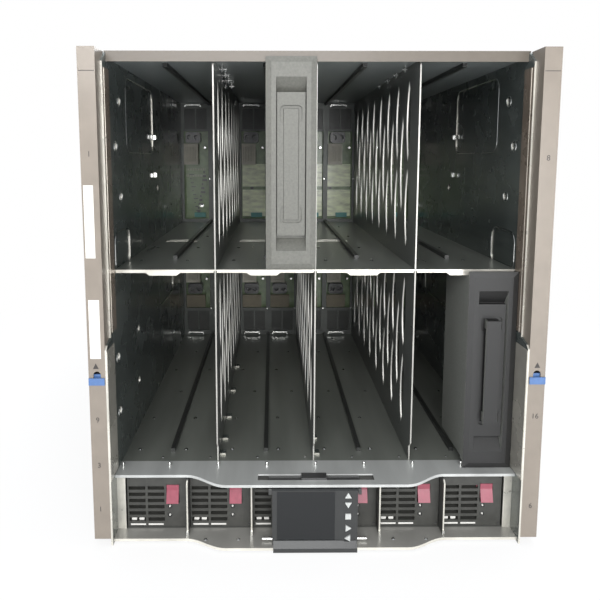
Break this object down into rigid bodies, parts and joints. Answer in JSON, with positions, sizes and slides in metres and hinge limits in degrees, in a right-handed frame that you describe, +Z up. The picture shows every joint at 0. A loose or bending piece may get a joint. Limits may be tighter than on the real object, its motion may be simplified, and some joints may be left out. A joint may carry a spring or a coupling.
{
  "type": "blade server chassis",
  "caption": "Rack-mounted enclosure open at the front, with two rows of device bays between slotted dividers, blanking modules, power supplies and a tilting status display below.",
  "frame": {"origin": "middle of the underside, centred on the overall box", "axes": "+Z up, +Y from the front face towards the rear, +X to the right of someone facing the front"},
  "size_m": [0.4826, 0.8384, 0.532],
  "materials": {
    "taupe_paint": "smooth satin paint",
    "dark_sheet": "dark passivated sheet steel",
    "light_sheet": "zinc-plated sheet steel",
    "black_plastic": "matt moulded plastic",
    "bright_steel": "polished",
    "blue_plastic": "satin",
    "circuit_board": "lacquered board",
    "ivory_plastic": "moulded plastic",
    "charcoal_plastic": "fine-grained moulded plastic",
    "burgundy_plastic": "satin",
    "gloss_black": "high gloss",
    "screen": "glossy screen cover",
    "grey_button": "satin",
    "grey_panel": "satin paint"
  },
  "bodies": {
    "enclosure": {"top_cover": "taupe_paint", "left_side_wall": "dark_sheet", "right_side_wall": "dark_sheet", "base_tray": "taupe_paint", "bay_floor": "dark_sheet", "divider_left": "light_sheet", "divider_centre": "light_sheet", "divider_right": "light_sheet", "bay_shelf_1": "dark_sheet", "bay_shelf_2": "dark_sheet", "bay_shelf_3": "dark_sheet", "bay_shelf_4": "dark_sheet", "guide_strips": "black_plastic", "alignment_studs": "bright_steel", "left_bezel": "taupe_paint", "right_bezel": "taupe_paint", "midplane_board": "circuit_board", "midplane_frame": "dark_sheet", "signal_connectors": "ivory_plastic", "power_connectors": "black_plastic", "psu_bay_frame": "light_sheet", "psu_2": "charcoal_plastic", "psu_3": "charcoal_plastic", "psu_4": "charcoal_plastic", "psu_5": "charcoal_plastic", "rear_cage": "light_sheet", "fan_modules": "charcoal_plastic", "fan_blanks": "grey_panel", "interconnect_blanks": "grey_panel", "admin_modules": "grey_panel", "power_inlets": "charcoal_plastic"},
    "left_latch": {"left_latch": "blue_plastic"},
    "right_latch": {"right_latch": "blue_plastic"},
    "display_slider": {"display_slider": "black_plastic"},
    "display": {"display_housing": "gloss_black", "display_window": "screen", "display_rod": "bright_steel"},
    "button_up": {"button_up": "grey_button"},
    "button_down": {"button_down": "grey_button"},
    "button_stop": {"button_stop": "grey_button"},
    "button_next": {"button_next": "grey_button"},
    "button_back": {"button_back": "grey_button"},
    "psu_1": {"psu_1": "charcoal_plastic"},
    "psu_6": {"psu_6": "charcoal_plastic"},
    "psu_tab_1": {"psu_tab_1": "burgundy_plastic"},
    "psu_tab_2": {"psu_tab_2": "burgundy_plastic"},
    "psu_tab_3": {"psu_tab_3": "burgundy_plastic"},
    "psu_tab_4": {"psu_tab_4": "burgundy_plastic"},
    "psu_tab_5": {"psu_tab_5": "burgundy_plastic"},
    "psu_tab_6": {"psu_tab_6": "burgundy_plastic"},
    "upper_blank": {"upper_blank": "charcoal_plastic"},
    "upper_grip": {"upper_grip": "charcoal_plastic"},
    "lower_blank": {"lower_blank": "charcoal_plastic"},
    "lower_grip": {"lower_grip": "charcoal_plastic"},
    "upper_air_doors": {"upper_air_doors": "dark_sheet"},
    "lower_air_doors": {"lower_air_doors": "dark_sheet"},
    "fan_rotor_1": {"fan_rotor_1": "black_plastic"},
    "fan_rotor_2": {"fan_rotor_2": "black_plastic"},
    "fan_rotor_3": {"fan_rotor_3": "black_plastic"},
    "fan_rotor_4": {"fan_rotor_4": "black_plastic"}
  },
  "joints": [
    {"name": "left_latch_slide", "type": "slide", "parent": "enclosure", "child": "left_latch", "axis": [0, 0, 1], "range_m": [0, 0.006]},
    {"name": "right_latch_slide", "type": "slide", "parent": "enclosure", "child": "right_latch", "axis": [0, 0, 1], "range_m": [0, 0.006]},
    {"name": "display_slide", "type": "slide", "parent": "enclosure", "child": "display_slider", "axis": [1, 0, 0], "range_m": [-0.042, 0.046]},
    {"name": "display_tilt", "type": "hinge", "parent": "display_slider", "child": "display", "pos_m": [-0.002, -0.4094, 0.0653], "axis": [-1, 0, 0], "range_deg": [0, 80]},
    {"name": "button_up_press", "type": "slide", "parent": "display", "child": "button_up", "axis": [0, 1, 0], "range_m": [0, 0.0008], "stiffness_N_per_m": 150},
    {"name": "button_down_press", "type": "slide", "parent": "display", "child": "button_down", "axis": [0, 1, 0], "range_m": [0, 0.0008], "stiffness_N_per_m": 150},
    {"name": "button_stop_press", "type": "slide", "parent": "display", "child": "button_stop", "axis": [0, 1, 0], "range_m": [0, 0.0008], "stiffness_N_per_m": 150},
    {"name": "button_next_press", "type": "slide", "parent": "display", "child": "button_next", "axis": [0, 1, 0], "range_m": [0, 0.0008], "stiffness_N_per_m": 150},
    {"name": "button_back_press", "type": "slide", "parent": "display", "child": "button_back", "axis": [0, 1, 0], "range_m": [0, 0.0008], "stiffness_N_per_m": 150},
    {"name": "psu_1_slide", "type": "slide", "parent": "enclosure", "child": "psu_1", "axis": [0, -1, 0], "range_m": [0, 0.15]},
    {"name": "psu_6_slide", "type": "slide", "parent": "enclosure", "child": "psu_6", "axis": [0, -1, 0], "range_m": [0, 0.15]},
    {"name": "psu_tab_1_press", "type": "hinge", "parent": "psu_1", "child": "psu_tab_1", "pos_m": [-0.16, -0.3778, 0.05095], "axis": [1, 0, 0], "range_deg": [0, 9], "stiffness_Nm_per_rad": 0.5},
    {"name": "psu_tab_2_press", "type": "hinge", "parent": "enclosure", "child": "psu_tab_2", "pos_m": [-0.0892, -0.3778, 0.05095], "axis": [1, 0, 0], "range_deg": [0, 9], "stiffness_Nm_per_rad": 0.5},
    {"name": "psu_tab_3_press", "type": "hinge", "parent": "enclosure", "child": "psu_tab_3", "pos_m": [-0.0184, -0.3778, 0.05095], "axis": [1, 0, 0], "range_deg": [0, 9], "stiffness_Nm_per_rad": 0.5},
    {"name": "psu_tab_4_press", "type": "hinge", "parent": "enclosure", "child": "psu_tab_4", "pos_m": [0.0524, -0.3778, 0.05095], "axis": [1, 0, 0], "range_deg": [0, 9], "stiffness_Nm_per_rad": 0.5},
    {"name": "psu_tab_5_press", "type": "hinge", "parent": "enclosure", "child": "psu_tab_5", "pos_m": [0.1232, -0.3778, 0.05095], "axis": [1, 0, 0], "range_deg": [0, 9], "stiffness_Nm_per_rad": 0.5},
    {"name": "psu_tab_6_press", "type": "hinge", "parent": "psu_6", "child": "psu_tab_6", "pos_m": [0.194, -0.3778, 0.05095], "axis": [1, 0, 0], "range_deg": [0, 9], "stiffness_Nm_per_rad": 0.5},
    {"name": "upper_blank_slide", "type": "slide", "parent": "enclosure", "child": "upper_blank", "axis": [0, -1, 0], "range_m": [0, 0.12]},
    {"name": "upper_grip_slide", "type": "slide", "parent": "upper_blank", "child": "upper_grip", "axis": [0, -1, 0], "range_m": [0, 0.018]},
    {"name": "lower_blank_slide", "type": "slide", "parent": "enclosure", "child": "lower_blank", "axis": [0, -1, 0], "range_m": [0, 0.12]},
    {"name": "lower_grip_slide", "type": "slide", "parent": "lower_blank", "child": "lower_grip", "axis": [0, -1, 0], "range_m": [-0.008, 0.01]},
    {"name": "upper_air_doors_swing", "type": "hinge", "parent": "enclosure", "child": "upper_air_doors", "pos_m": [0, 0.1041, 0.5169], "axis": [1, 0, 0], "range_deg": [0, 80], "stiffness_Nm_per_rad": 0.03},
    {"name": "lower_air_doors_swing", "type": "hinge", "parent": "enclosure", "child": "lower_air_doors", "pos_m": [0, 0.1041, 0.1215], "axis": [1, 0, 0], "range_deg": [0, 80], "stiffness_Nm_per_rad": 0.03},
    {"name": "fan_rotor_1_spin", "type": "hinge", "parent": "enclosure", "child": "fan_rotor_1", "pos_m": [-0.08864, 0.3702, 0.114], "axis": [0, 1, 0], "continuous": true},
    {"name": "fan_rotor_2_spin", "type": "hinge", "parent": "enclosure", "child": "fan_rotor_2", "pos_m": [0.08864, 0.3702, 0.114], "axis": [0, 1, 0], "continuous": true},
    {"name": "fan_rotor_3_spin", "type": "hinge", "parent": "enclosure", "child": "fan_rotor_3", "pos_m": [-0.08864, 0.3702, 0.4829], "axis": [0, 1, 0], "continuous": true},
    {"name": "fan_rotor_4_spin", "type": "hinge", "parent": "enclosure", "child": "fan_rotor_4", "pos_m": [0.08864, 0.3702, 0.4829], "axis": [0, 1, 0], "continuous": true}
  ]
}
